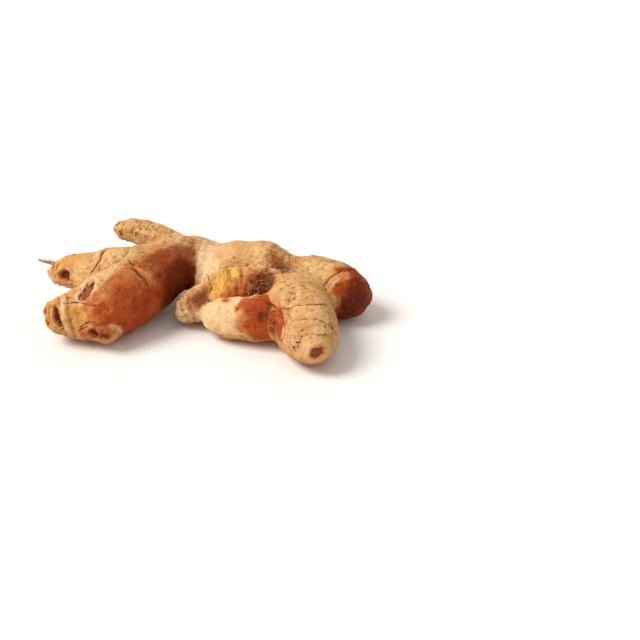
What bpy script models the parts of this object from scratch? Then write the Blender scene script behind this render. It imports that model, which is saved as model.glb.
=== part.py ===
"""A whole ginger root: one rhizome, grown as a single body, lying on its side on a flat surface.

The root is a crown from which swollen fingers branch. Each finger is a turned body on its own
axis: it starts on its parent's axis, and leaves it with a heading in plan and a climb. The fingers
are joined into one skin, whose creases are then softened as growth softens them, and the underside
is flattened a little where the root rests.

Frame: +Z up, origin on the surface that the root rests on, under the middle of its box.
Run with: blender --background --python part.py
"""

import math

import bmesh
import bpy
from mathutils import Matrix, Vector

MM = 0.001

# Driving dimensions: each finger's length along its axis, and its largest girth across.
PALM_LENGTH, PALM_GIRTH = 85 * MM, 33 * MM
HEEL_LENGTH, HEEL_GIRTH = 57 * MM, 30.5 * MM
TOE_LENGTH, TOE_GIRTH = 26.5 * MM, 23 * MM
STUB_LENGTH, STUB_GIRTH = 17 * MM, 16 * MM
HORN_LENGTH, HORN_GIRTH = 50 * MM, 20 * MM
PERCH_LENGTH, PERCH_GIRTH = 43 * MM, 15 * MM
KNOB_LENGTH, KNOB_GIRTH = 29.5 * MM, 30.5 * MM
BUD_LENGTH, BUD_GIRTH = 33 * MM, 16 * MM
FRONT_LENGTH, FRONT_GIRTH = 68 * MM, 31 * MM
SIDE_LENGTH, SIDE_GIRTH = 44 * MM, 27 * MM
THUMB_LENGTH, THUMB_GIRTH = 44 * MM, 20 * MM

CROWN_HEIGHT = 21.9 * MM
CONTACT_DEPTH = 1.0 * MM  # how far the weight flattens the lowest points
SKIN_VOXEL = 1.1 * MM
CREASE_PASSES = 9
FINAL_VOXEL = 2.6 * MM

TURN_STEPS = 32
PROFILE_STEPS = 22
ROUND_END = 0.62  # 1 gives an ellipse's end, and less gives a squarer one
BROKEN_END = 0.45
SKIN_COLOUR = (0.56, 0.36, 0.17, 1.0)
SKIN_ROUGHNESS = 0.7


class Finger:
    """The axis of one finger: where it starts, which way it points and how long it is."""

    def __init__(self, start, heading, climb, length):
        self.start = start
        self.length = length
        turn, rise = math.radians(heading), math.radians(climb)
        self.direction = Vector(
            (math.cos(turn) * math.cos(rise), math.sin(turn) * math.cos(rise), math.sin(rise))
        )

    def at(self, share, lift=0.0, across=0.0):
        """A point at a share of the axis, raised by the lift and moved along Y by the other."""
        return self.start + self.direction * (self.length * share) + Vector((0, across, lift))


def girth_share(profile, share):
    """The profile's value at a share of the length, read smoothly between its stations."""
    place = share * (len(profile) - 1)
    first = min(int(place), len(profile) - 2)
    ease = place - first
    ease = ease * ease * (3 - 2 * ease)
    return profile[first] * (1 - ease) + profile[first + 1] * ease


def add_finger(skin, axis, girth, profile, flatness=1.0, end=ROUND_END):
    """Turns one finger's outline round its axis, as a closed body, and adds it to the skin."""
    finger = bmesh.new()
    outline = []
    for step in range(PROFILE_STEPS + 1):
        angle = math.pi * step / PROFILE_STEPS
        share = (1 - math.cos(angle)) / 2
        swell = girth_share(profile, share) * max(math.sin(angle), 0.0) ** end
        outline.append(finger.verts.new((girth / 2 * swell, 0, axis.length * share)))
    edges = [finger.edges.new(pair) for pair in zip(outline, outline[1:])]
    bmesh.ops.spin(
        finger,
        geom=outline + edges,
        axis=(0, 0, 1),
        cent=(0, 0, 0),
        steps=TURN_STEPS,
        angle=2 * math.pi,
        use_merge=True,
    )
    bmesh.ops.recalc_face_normals(finger, faces=finger.faces)
    side = axis.direction.cross(Vector((0, 0, 1))).normalized()
    top = side.cross(axis.direction)
    place = Matrix((side, top * flatness, axis.direction)).transposed().to_4x4()
    place.translation = axis.start
    bmesh.ops.transform(finger, matrix=place, verts=finger.verts)
    turned = bpy.data.meshes.new("finger")
    finger.to_mesh(turned)
    finger.free()
    skin.from_mesh(turned)
    bpy.data.meshes.remove(turned)


def build_fingers():
    """All the fingers, as overlapping closed bodies in one mesh."""
    skin = bmesh.new()
    palm = Finger(Vector((0, 0, CROWN_HEIGHT)), heading=-127.3, climb=-6.4, length=PALM_LENGTH)
    add_finger(skin, palm, PALM_GIRTH, (0.62, 0.82, 0.91, 1.0, 0.88), flatness=0.93)

    heel = Finger(palm.at(0.20, lift=-5.4 * MM), heading=-13.4, climb=2.4, length=HEEL_LENGTH)
    add_finger(skin, heel, HEEL_GIRTH, (0.68, 0.90, 0.98, 1.0, 0.95))

    toe = Finger(palm.at(0.82), heading=-175.1, climb=-8.1, length=TOE_LENGTH)
    add_finger(skin, toe, TOE_GIRTH, (1.0, 1.0, 0.90, 0.75))

    stub = Finger(palm.at(0.80), heading=-90.0, climb=-24.0, length=STUB_LENGTH)
    add_finger(skin, stub, STUB_GIRTH, (1.0, 1.0, 0.95, 0.85), end=BROKEN_END)

    horn = Finger(palm.at(0.54, lift=5.5 * MM), heading=156.8, climb=-8.0, length=HORN_LENGTH)
    add_finger(skin, horn, HORN_GIRTH, (1.1, 1.08, 1.0, 0.90, 0.80))

    perch = Finger(palm.at(0.09), heading=158.1, climb=-0.2, length=PERCH_LENGTH)
    add_finger(skin, perch, PERCH_GIRTH, (0.80, 1.0, 0.94, 0.88, 0.90))

    knob = Finger(heel.at(0.51), heading=-92.0, climb=-7.0, length=KNOB_LENGTH)
    add_finger(skin, knob, KNOB_GIRTH, (1.0, 1.0, 1.0, 0.96), flatness=0.78, end=BROKEN_END)

    bud = Finger(knob.at(0.42), heading=-150.0, climb=-14.0, length=BUD_LENGTH)
    add_finger(skin, bud, BUD_GIRTH, (1.0, 1.0, 0.95, 0.90))

    front = Finger(heel.at(0.85), heading=-75.2, climb=-3.5, length=FRONT_LENGTH)
    add_finger(skin, front, FRONT_GIRTH, (0.66, 0.82, 0.97, 1.0, 0.80), flatness=0.9)

    side_start = heel.at(0.90, lift=-1.5 * MM, across=7.0 * MM)
    side = Finger(side_start, heading=-34.2, climb=-4.2, length=SIDE_LENGTH)
    add_finger(skin, side, SIDE_GIRTH, (0.85, 1.0, 1.0, 1.0, 0.95))

    thumb = Finger(front.at(0.56), heading=170.0, climb=-7.5, length=THUMB_LENGTH)
    add_finger(skin, thumb, THUMB_GIRTH, (0.9, 0.95, 1.0, 0.95, 0.85))
    return skin


def softened(skin):
    """The fingers joined into one skin, its creases filleted, as an evenly meshed surface."""
    mesh = bpy.data.meshes.new("joined_fingers")
    skin.to_mesh(mesh)
    skin.free()
    helper = bpy.data.objects.new("joined_fingers", mesh)
    bpy.context.scene.collection.objects.link(helper)
    joined = helper.modifiers.new("join", "REMESH")
    joined.mode = "VOXEL"
    joined.voxel_size = SKIN_VOXEL
    crease = helper.modifiers.new("soften_creases", "SMOOTH")
    crease.factor = 0.5
    crease.iterations = CREASE_PASSES
    even = helper.modifiers.new("even_faces", "REMESH")
    even.mode = "VOXEL"
    even.voxel_size = FINAL_VOXEL
    graph = bpy.context.evaluated_depsgraph_get()
    surface = bpy.data.meshes.new_from_object(helper.evaluated_get(graph))
    bpy.data.objects.remove(helper)
    return surface


def rest_on_surface(mesh):
    """Cuts the lowest points flat, and moves the mesh so that the origin is under its middle."""
    root = bmesh.new()
    root.from_mesh(mesh)
    along = {"use_axis_x": True, "use_axis_y": True, "use_axis_z": True}
    bmesh.ops.smooth_vert(root, verts=root.verts, factor=0.5, **along)
    floor = min(v.co.z for v in root.verts) + CONTACT_DEPTH
    bmesh.ops.bisect_plane(
        root,
        geom=root.verts[:] + root.edges[:] + root.faces[:],
        dist=1e-6,
        plane_co=(0, 0, floor),
        plane_no=(0, 0, 1),
        clear_inner=True,
    )
    bmesh.ops.holes_fill(root, edges=[e for e in root.edges if e.is_boundary], sides=0)
    bmesh.ops.triangulate(root, faces=root.faces)
    bmesh.ops.recalc_face_normals(root, faces=root.faces)
    low = Vector([min(v.co[k] for v in root.verts) for k in range(3)])
    high = Vector([max(v.co[k] for v in root.verts) for k in range(3)])
    middle = (low + high) / 2
    bmesh.ops.translate(root, verts=root.verts, vec=(-middle.x, -middle.y, -floor))
    root.to_mesh(mesh)
    root.free()


def skin_material():
    material = bpy.data.materials.new("ginger_skin")
    material.use_nodes = True
    shader = material.node_tree.nodes["Principled BSDF"]
    shader.inputs["Base Color"].default_value = SKIN_COLOUR
    shader.inputs["Roughness"].default_value = SKIN_ROUGHNESS
    shader.inputs["Metallic"].default_value = 0.0
    material.diffuse_color = SKIN_COLOUR
    return material


def main():
    for leftover in list(bpy.data.objects):
        bpy.data.objects.remove(leftover)
    mesh = softened(build_fingers())
    rest_on_surface(mesh)
    mesh.name = "ginger_root"
    mesh.materials.clear()
    mesh.materials.append(skin_material())
    mesh.shade_smooth()
    root = bpy.data.objects.new("ginger_root", mesh)
    bpy.context.scene.collection.objects.link(root)


main()
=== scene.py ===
# %% [markdown]
# # A whole ginger root
# A ginger root is a rhizome: an underground stem that grows as one body, with swollen fingers that
# branch from a crown. Its skin is thin, corky and tan, with ring-shaped scars where scale leaves
# sat, round scars of buds and rootlets, and rough amber faces where a finger was broken off.
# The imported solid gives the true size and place. Everything that shows is made here around it.

import math

import bmesh
import bpy
import numpy as np
from mathutils import Matrix, Vector, noise
from mathutils.bvhtree import BVHTree


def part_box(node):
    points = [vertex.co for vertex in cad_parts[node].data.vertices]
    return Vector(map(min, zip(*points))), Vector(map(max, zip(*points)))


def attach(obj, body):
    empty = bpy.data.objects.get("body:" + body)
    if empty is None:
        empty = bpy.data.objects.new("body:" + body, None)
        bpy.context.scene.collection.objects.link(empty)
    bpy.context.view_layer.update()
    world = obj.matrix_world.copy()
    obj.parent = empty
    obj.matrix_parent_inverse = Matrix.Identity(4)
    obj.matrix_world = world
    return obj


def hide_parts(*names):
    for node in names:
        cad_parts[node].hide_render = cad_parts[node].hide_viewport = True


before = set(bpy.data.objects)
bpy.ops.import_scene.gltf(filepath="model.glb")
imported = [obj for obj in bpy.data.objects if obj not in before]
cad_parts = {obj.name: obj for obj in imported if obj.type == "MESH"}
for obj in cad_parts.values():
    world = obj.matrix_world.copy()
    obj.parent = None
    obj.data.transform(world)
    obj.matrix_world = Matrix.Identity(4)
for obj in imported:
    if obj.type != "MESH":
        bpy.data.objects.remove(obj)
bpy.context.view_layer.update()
MM = 0.001
box_low, box_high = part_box("ginger_root")
box_size = box_high - box_low
print("root box, mm:", [round(side / MM, 1) for side in box_size])

# %% [markdown]
# ## The camera
# A long lens from a little above shows the root as it lies on a table in front of us. Long lenses
# flatten perspective, so near and far fingers keep their true proportions. The camera is made first,
# so that each later step can be judged from it.

# %% Camera
LENS = 80.27
VIEW_DISTANCE = 650 * MM
VIEW_TILT = math.radians(30.5)
AIM_SHARE = (0.847, 0.402)  # the aimed point on the floor, as shares of the root's box
FRAME_SHIFT = (-0.0015625, 0.015625)  # in widths of the picture

aim = Vector(
    (box_low.x + AIM_SHARE[0] * box_size.x, box_low.y + AIM_SHARE[1] * box_size.y, box_low.z)
)
lens = bpy.data.cameras.new("table_camera")
lens.lens, lens.clip_start = LENS, 10 * MM
lens.shift_x, lens.shift_y = FRAME_SHIFT
camera = bpy.data.objects.new("table_camera", lens)
camera.location = aim + VIEW_DISTANCE * Vector((0, -math.cos(VIEW_TILT), math.sin(VIEW_TILT)))
camera.rotation_euler = (math.pi / 2 - VIEW_TILT, 0, 0)
bpy.context.scene.collection.objects.link(camera)
bpy.context.scene.camera = camera
print("camera at, mm:", [round(part / MM) for part in camera.location])

# %% [markdown]
# ## The fingers' axes
# Every mark on the skin sits on some finger: so far along it, and at some angle round it. An axis
# for each finger lets us say that in words, as a botanist would, and not in bare coordinates. The
# angle is 0 on top and grows to the right-hand side as we look from the base to the tip.
# From here to the end of the sculpting, lengths are in millimetres.


# %% Axes
class Finger:
    """One finger: its axis, its turned outline and the rings of leaf scars on it."""

    def __init__(self, start, heading, climb, length, girth, profile, rings, end=0.62, flat=1.0):
        turn, rise = math.radians(heading), math.radians(climb)
        level = math.cos(rise)
        self.start, self.length, self.girth, self.flat = start, length, girth, flat
        self.direction = Vector((math.cos(turn) * level, math.sin(turn) * level, math.sin(rise)))
        self.side = self.direction.cross(Vector((0, 0, 1))).normalized()
        self.top = self.side.cross(self.direction)
        self.profile, self.end, self.rings = profile, end, rings

    def at(self, share, lift=0.0, across=0.0):
        """A point on the axis, raised by the lift and moved along Y by the other."""
        return self.start + self.direction * self.length * share + Vector((0, across, lift))

    def outward(self, around):
        """The direction that points away from the axis at an angle round it."""
        angle = math.radians(around)
        return self.top * math.cos(angle) + self.side * math.sin(angle)

    def outline(self, steps=80):
        """The finger's half outline: how far along, and how far from the axis."""
        angle = np.linspace(0, math.pi, steps)
        share = (1 - np.cos(angle)) / 2
        stations = np.linspace(0, 1, len(self.profile))
        radius = np.interp(share, stations, self.profile) * self.girth / 2
        return share * self.length, radius * np.clip(np.sin(angle), 0, 1) ** self.end


CROWN_SHARE = (0.4835, 0.882, 0.692)
crown = Vector([(box_low[k] + CROWN_SHARE[k] * box_size[k]) / MM for k in range(3)])
# A ring is its share along the finger, its slant (how far it leans per mm to the side) and how
# strongly it shows.
palm = Finger(
    crown, -127.3, -6.4, 85, 33, (0.62, 0.82, 0.91, 1.0, 0.88),
    rings=((0.16, 0.2, 0.2), (0.33, 0.1, 0.15), (0.47, -0.2, 0.1), (0.66, 0.15, 0.15), (0.9, 0, 0.3)),
    flat=0.93,
)
heel = Finger(
    palm.at(0.20, lift=-5.4), -13.4, 2.4, 57, 30.5, (0.68, 0.90, 0.98, 1.0, 0.95),
    rings=((0.24, 0.1, 0.1), (0.47, -0.1, 0.15), (0.7, 0.15, 0.15), (0.93, 0.3, 0.5)),
)
toe = Finger(
    palm.at(0.82), -175.1, -8.1, 26.5, 23, (1.0, 1.0, 0.90, 0.75),
    rings=((0.3, 0.1, 0.2), (0.55, 0.1, 0.4), (0.68, 0.05, 0.6)),
)
stub = Finger(
    palm.at(0.80), -90.0, -24.0, 17, 16, (1.0, 1.0, 0.95, 0.85), rings=((0.7, 0, 0.3),), end=0.45
)
horn = Finger(
    palm.at(0.54, lift=5.5), 156.8, -8.0, 50, 20, (1.1, 1.08, 1.0, 0.90, 0.80),
    rings=((0.352, 0.3, 0.6), (0.55, 0.1, 0.12), (0.73, 0.2, 0.2), (0.9, 0.2, 0.15)),
)
perch = Finger(
    palm.at(0.09), 158.1, -0.2, 43, 15, (0.80, 1.0, 0.94, 0.88, 0.90),
    rings=((0.34, 0.1, 0.2), (0.55, -0.1, 0.35), (0.74, 0.1, 0.2), (0.86, 0.2, 0.7)),
)
knob = Finger(
    heel.at(0.51), -92.0, -7.0, 29.5, 30.5, (1.0, 1.0, 1.0, 0.96), rings=((0.30, 0, 0.1),),
    end=0.45, flat=0.78,
)
bud = Finger(
    knob.at(0.42), -150.0, -14.0, 33, 16, (1.0, 1.0, 0.95, 0.90),
    rings=((0.62, 0.3, 0.35), (0.76, -0.3, 0.5), (0.90, 0.2, 0.4)),
)
front = Finger(
    heel.at(0.85), -75.2, -3.5, 68, 31, (0.66, 0.82, 0.97, 1.0, 0.80),
    rings=((0.2, 0.1, 0.15), (0.405, 0.13, 0.4), (0.67, -0.3, 0.4), (0.81, -0.25, 0.5), (0.91, -0.2, 0.6)),
    flat=0.9,
)
side = Finger(
    heel.at(0.90, lift=-1.5, across=7.0), -34.2, -4.2, 44, 27, (0.85, 1.0, 1.0, 1.0, 0.95),
    rings=((0.3, 0.1, 0.15), (0.5, -0.2, 0.3), (0.70, -0.35, 1.0), (0.92, 0, 0.15)),
)
thumb = Finger(
    front.at(0.56), 170.0, -7.5, 44, 20, (0.9, 0.95, 1.0, 0.95, 0.85),
    rings=((0.14, 0.1, 0.9), (0.36, 0, 0.15), (0.58, 0.1, 0.1), (0.8, 0, 0.15)),
)
fingers = [palm, heel, toe, stub, horn, perch, knob, bud, front, side, thumb]

# Between the clear rings lie faint ones, a few millimetres apart.
FAINT_SPACING = 4.2
CLEAR_OF_RINGS = 2.0
ring_draw = np.random.default_rng(11)
for finger in fingers:
    count = int(finger.length / FAINT_SPACING)
    for number in range(1, count):
        share = (number + ring_draw.uniform(-0.3, 0.3)) / count
        nearest = min(abs(share - ring[0]) for ring in finger.rings) * finger.length
        if nearest > CLEAR_OF_RINGS:
            slant, strength = ring_draw.uniform(-0.25, 0.25), ring_draw.uniform(0.08, 0.3)
            finger.rings += ((share, slant, strength),)
print("fingers:", len(fingers), "rings:", sum(len(finger.rings) for finger in fingers))

# %% [markdown]
# ## An evenly meshed skin
# The solid's faces are too large to hold a ring or a pit, so the skin starts as a copy of it. The
# copy is merged, remeshed into small even faces, smoothed until the old facets are gone, and divided
# once more. A sculptor does the same before the detail brushes come out. The spacing ends at about
# 0.6 mm, near the width of the thinnest groove that we cut.

# %% Skin base
REMESH_SIZE = 1.16 * MM
FACET_PASSES = 10
SAME_POINT = 0.001 * MM


def applied(mesh, steps):
    """The mesh after a stack of modifiers, given as (type, settings)."""
    helper = bpy.data.objects.new("skin_helper", mesh)
    bpy.context.scene.collection.objects.link(helper)
    for kind, settings in steps:
        modifier = helper.modifiers.new(kind.lower(), kind)
        for name, value in settings.items():
            setattr(modifier, name, value)
    graph = bpy.context.evaluated_depsgraph_get()
    result = bpy.data.meshes.new_from_object(helper.evaluated_get(graph))
    bpy.data.objects.remove(helper)
    return result


merged = bmesh.new()
merged.from_mesh(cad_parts["ginger_root"].data)
bmesh.ops.remove_doubles(merged, verts=merged.verts, dist=SAME_POINT)
bmesh.ops.recalc_face_normals(merged, faces=merged.faces)
base_mesh = bpy.data.meshes.new("skin_base")
merged.to_mesh(base_mesh)
merged.free()
skin_mesh = applied(
    base_mesh,
    (
        ("REMESH", {"mode": "VOXEL", "voxel_size": REMESH_SIZE}),
        ("SMOOTH", {"factor": 0.5, "iterations": FACET_PASSES}),
        ("SUBSURF", {"levels": 1, "render_levels": 1}),
    ),
)
skin_mesh.name = "ginger_skin"
print("skin points:", len(skin_mesh.vertices), "faces:", len(skin_mesh.polygons))


# %% Skin as arrays
def read(collection, field, width, kind=np.float32):
    """One field of every item of a mesh, as rows of numbers."""
    values = np.empty(len(collection) * width, kind)
    collection.foreach_get(field, values)
    return values.reshape(-1, width)


points = read(skin_mesh.vertices, "co", 3).astype(float) / MM
edges = read(skin_mesh.edges, "vertices", 2, np.int32)
edge_count = np.bincount(edges.ravel(), minlength=len(points))
corners = [tuple(face.vertices) for face in skin_mesh.polygons]
edge_ways = points[edges[:, 0]] - points[edges[:, 1]]
print("spacing, mm:", np.linalg.norm(edge_ways, axis=1).mean().round(2))


def eased(values, low, high):
    """0 below low, 1 above high, and a smooth rise between them."""
    share = np.clip((values - low) / (high - low), 0, 1)
    return share * share * (3 - 2 * share)


def spread(values, passes):
    """Values shared with their neighbours on the skin, again and again."""
    for _ in range(passes):
        total = np.stack(
            [
                np.bincount(edges[:, 0], row[edges[:, 1]], len(points))
                + np.bincount(edges[:, 1], row[edges[:, 0]], len(points))
                for row in np.atleast_2d(values.T)
            ]
        ) / edge_count
        values = (values + total.T.reshape(values.shape)) / 2
    return values


def clouds(places, size, seed, octaves=2):
    """Smooth irregular values from about -1 to 1, whose lumps are about that many mm wide."""
    offset = Vector((seed * 7.3, seed * -3.1, seed * 5.7))
    return np.array(
        [noise.fractal(Vector(place) / size + offset, 1.0, 2.0, octaves) for place in places]
    )


# %% [markdown]
# ## Pulling the big forms
# A sculptor starts with the grab brush: a finger is pulled by about two millimetres, and the skin
# around the place follows softly. It bends a finger in a way that a straight axis can't.

# %% Grabs
# (finger, along, reach in mm, move in mm)
GRABS = (
    (perch, 0.80, 24, (0.0, 1.0, 2.2)),
    (horn, 1.0, 15, (1.2, 0.0, -1.9)),
    (toe, 0.80, 16, (-0.9, 0.6, 1.7)),
    (bud, 0.62, 17, (-1.3, 0.6, 2.0)),
)
GRAB_CORE = 0.3  # the share of the reach that moves in full
for finger, along, reach, move in GRABS:
    away = np.linalg.norm(points - np.array(finger.at(along)), axis=1)
    points += (1 - eased(away, GRAB_CORE * reach, reach))[:, None] * move
skin_mesh.vertices.foreach_set("co", (points * MM).astype(np.float32).ravel())
skin_mesh.update()
normals = read(skin_mesh.vertex_normals, "vector", 3).astype(float)
surface = BVHTree.FromPolygons(points.tolist(), corners)
print("grabs:", len(GRABS))

# %% [markdown]
# ## Which finger each point belongs to
# Rings and wrinkles follow their own finger, so each point of the skin is given to the finger whose
# outline passes nearest. Where two outlines are equally near, the point is in a crease, and the
# pattern of either finger fades out there. In clay, the same thing happens where two coils meet.

# %% Owners
CREASE_CORE, CREASE_REACH = 0.3, 3.0  # how much nearer one outline is, in a crease and out of it
gaps, views = [], []
for finger in fingers:
    away = points - np.array(finger.start)
    axes = (finger.side, finger.top, finger.direction)
    place = np.stack([away @ np.array(axis) for axis in axes], 1)
    radius = np.hypot(place[:, 0], place[:, 1] / finger.flat)
    along, outline = finger.outline()
    near = np.full(len(points), np.inf)
    for station, reach in zip(along, outline):
        near = np.minimum(near, (place[:, 2] - station) ** 2 + (radius - reach) ** 2)
    inside = (radius < np.interp(place[:, 2], along, outline, 0, 0)) & (place[:, 2] > 0)
    gaps.append(np.sqrt(near) * np.where(inside, -1, 1))
    views.append(place)
gaps = np.array(gaps)
owner = gaps.argmin(0)
ranked = np.sort(gaps, axis=0)
# 0 in a crease and 1 away from it
calm = spread(eased(ranked[1] - ranked[0], CREASE_CORE, CREASE_REACH), 4)
# Each point as its own finger has it: to the side, up, and along
own = np.array(views)[owner, np.arange(len(points))]
print("points by finger:", np.bincount(owner, minlength=len(fingers)).tolist())

# %% [markdown]
# ## Lumps, swellings and wrinkles
# A root swells between its rings, bulges where soil let it, and its skin shrinks into fine wrinkles
# along each finger as it dries. Each of these is a height to add along the surface, so they can be
# summed in any order and the sum is applied once. Nothing is added near the table, where weight
# keeps the root flat.

# %% Growth
# (height in mm, size in mm, seed)
LUMPS = ((0.6, 13, 1), (0.42, 5.5, 2), (0.12, 2.2, 9))
RING_WOBBLE = ((0.9, 7, 3), (0.3, 2.2, 4))
FAR = 50.0  # a distance for points that no ring or crack is near
# (height or depth, half width) of the swelling between rings, the groove and the lip beside it
SWELLING, GROOVE, LIP = (0.35, 5), (0.40, 0.5), (0.16, 0.6)
LIP_PLACE = 1.0
STRETCH = 7  # how much longer than wide the wrinkles are

lift = sum(height * clouds(points, size, seed) for height, size, seed in LUMPS)
wobble = sum(height * clouds(points, size, seed) for height, size, seed in RING_WOBBLE)
ring_gap = np.full(len(points), FAR)
ring_strength = np.zeros(len(points))
for index, finger in enumerate(fingers):
    mine = owner == index
    for share, slant, strength in finger.rings:
        gap = own[mine, 2] - share * finger.length - slant * own[mine, 0] + wobble[mine]
        closer = np.abs(gap) < np.abs(ring_gap[mine])
        ring_gap[mine] = np.where(closer, gap, ring_gap[mine])
        ring_strength[mine] = np.where(closer, strength, ring_strength[mine])
ring_strength *= calm
swelling = eased(np.abs(ring_gap), 0, SWELLING[1]) * SWELLING[0]
groove = np.exp(-((ring_gap / GROOVE[1]) ** 2)) * GROOVE[0]
lip = np.exp(-(((ring_gap + LIP_PLACE) / LIP[1]) ** 2)) * LIP[0]
lift += (swelling - groove + lip) * ring_strength

# The wrinkles' own coordinates are squeezed along the finger and moved apart from finger to finger.
grain = np.column_stack([own[:, 0], own[:, 1], own[:, 2] / STRETCH]) + owner[:, None] * 11.0
lift += calm * (0.13 * clouds(grain, 1.6, 5, 3) + 0.12 * clouds(grain, 3.4, 6))
print("growth, mm:", lift.min().round(2), "to", lift.max().round(2))

# %% [markdown]
# ## Marks on the skin
# Scars, pits, buds and cracks each take a place, found by a ray that leaves a finger's axis at an
# angle and meets the skin. A mark is an oval blot with a ragged edge: it can press the skin in,
# raise a rim, or paint one of the tints that the material mixes in later.

# %% Mark helpers
# Some tints carry painted shade and highlight: the red-brown and near-black ones shade the flanks turned
# from the light, and the pale one partly lights the flanks turned to it.
TINTS = ("scar", "stain", "burnt", "amber", "pale", "coarse", "rust")
paint = {name: np.zeros(len(points)) for name in TINTS}


def on_surface(shape, finger, along, around):
    """Where a ray from a finger's axis meets a surface, and the way off it. Past a blunt tip the
    axis is outside, so the nearest point is taken there."""
    hit, off, _, _ = shape.ray_cast(finger.at(along), finger.outward(around))
    if hit is None:
        hit, off, _, _ = shape.find_nearest(finger.at(along) + finger.outward(around))
    return hit, off


class Place:
    """A point of the skin, with the ways along the growth, across it and off the surface."""

    def __init__(self, finger, along, around):
        hit, off = on_surface(surface, finger, along, around)
        grow = (finger.direction - off * finger.direction.dot(off)).normalized()
        self.at, self.off, self.grow, self.across = hit, off, grow, off.cross(grow)


DEPTH_FALL = 1.4  # how fast a blot fades off its surface, where 2 is as fast as along its length
RAG_SIZE = 0.35  # the size of its edge's raggedness, as a share of its shorter side


def blot(place, length, width, turn=0, ragged=0.25, soft=0.25, seed=1, only=None):
    """How far into an oval blot each point is: 1 inside, 0 outside, with a ragged edge. It may
    keep to only one finger."""
    angle = math.radians(turn)
    along = place.grow * math.cos(angle) + place.across * math.sin(angle)
    across = place.across * math.cos(angle) - place.grow * math.sin(angle)
    away = points - np.array(place.at)
    reach = np.hypot(away @ np.array(along) / length, away @ np.array(across) / width) * 2
    deep = np.abs(away @ np.array(place.off)) / max(length, width)
    reach = np.maximum(reach, deep * DEPTH_FALL)
    near = reach < 2.2
    reach[near] += ragged * clouds(points[near], min(length, width) * RAG_SIZE, seed, 3)
    inside = 1 - eased(reach, 1 - soft, 1 + soft)
    inside *= eased(normals @ np.array(place.off), -0.2, 0.1)
    if only:
        inside *= spread((owner == fingers.index(only)).astype(float), 8)
    return inside


def tint(name, amount):
    """Paints a tint, and leaves what is painted more strongly already."""
    paint[name] = np.maximum(paint[name], np.clip(amount, 0, 1))


def crack(stations, width, depth):
    """A thin split through places on the skin. It returns each point's distance from it."""
    nodes = [np.array(place.at) for place in stations]
    best = np.full(len(points), FAR)
    for first, second in zip(nodes, nodes[1:]):
        way = second - first
        share = np.clip((points - first) @ way / (way @ way), 0, 1)
        best = np.minimum(best, np.linalg.norm(points - first - share[:, None] * way, axis=1))
    best = best + crack_wobble
    lift[:] -= depth * np.exp(-((best / width) ** 2))
    return best


crack_wobble = 0.22 * clouds(points, 1.8, 8)

# %% [markdown]
# ### Bulges and dents
# The big forms come before the fine ones, as in any sculpture. These moves stand a finger's flank
# out, sharpen a corner or sink a hollow by up to three millimetres, which the plain solid can't show.

# %% Bulges
# (finger, along, around, length, width, softness, height in mm)
BULGES = (
    (thumb, 0.62, -8, 30, 16, 0.8, 1.7),
    (thumb, 0.86, 20, 14, 13, 0.8, 1.1),
    (thumb, 0.20, -30, 10, 10, 0.9, -0.7),
    (thumb, 0.06, -25, 5, 18, 0.6, -1.3),
    (knob, 0.36, 70, 9, 7, 0.35, 1.5),
    (knob, 0.60, 66, 12, 7, 0.4, 1.2),
    (knob, 0.55, -50, 14, 11, 0.7, 2.6),
    (knob, 0.52, 20, 12, 16, 0.6, 0.8),
    (heel, 0.25, 78, 12, 8, 0.6, -0.9),
    (palm, 0.45, 45, 24, 17, 0.8, 2.7),
    (horn, 0.20, 25, 16, 14, 0.8, 1.6),
    (heel, 0.18, -8, 10, 15, 0.8, 2.3),
    (heel, 0.74, -6, 13, 16, 0.8, 1.9),
    (perch, 0.72, 30, 26, 12, 0.8, 1.0),
    (perch, 0.98, -50, 8, 12, 0.8, 1.0),
    (toe, 0.16, 40, 15, 12, 0.8, 1.5),
    (palm, 0.80, 62, 15, 10, 0.8, 1.6),
    (horn, 0.45, -118, 20, 9, 0.8, 1.2),
    (heel, 0.26, 108, 16, 13, 0.8, 3.0),
    (bud, 0.75, -80, 16, 12, 0.8, 1.4),
    (bud, 0.80, 60, 12, 12, 0.8, 1.2),
    (front, 0.24, 62, 10, 8, 0.7, -1.4),
    (horn, 0.96, -105, 6, 7, 0.7, 1.9),
    (horn, 0.93, -30, 4, 7, 0.6, -0.8),
    (horn, 0.62, -60, 9, 5, 0.7, -0.6),
    (horn, 0.72, -75, 9, 8, 0.5, 0.8),
    (toe, 0.61, -45, 3, 16, 0.5, 0.8),
    (toe, 0.92, 0, 4, 9, 0.6, 0.8),
    (stub, 0.85, 20, 9, 12, 0.5, 0.7),
    (heel, 0.86, 25, 9, 12, 0.8, -0.8),
    (side, 0.62, -5, 8, 24, 0.8, 0.5),
    (front, 0.30, 5, 14, 20, 0.9, 0.6),
)
for number, (finger, along, around, length, width, soft, height) in enumerate(BULGES):
    place = Place(finger, along, around)
    lift += height * blot(place, length, width, 0, 0.2, soft, 120 + number)
print("bulges and dents:", len(BULGES))

# %% [markdown]
# ### Broken and healed ends
# Growers break a hand of ginger into pieces, and fingers snap off in the field. The break heals into
# a rough amber or brown face with a raised rim of skin, often with a hole where the core shrank.

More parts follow.
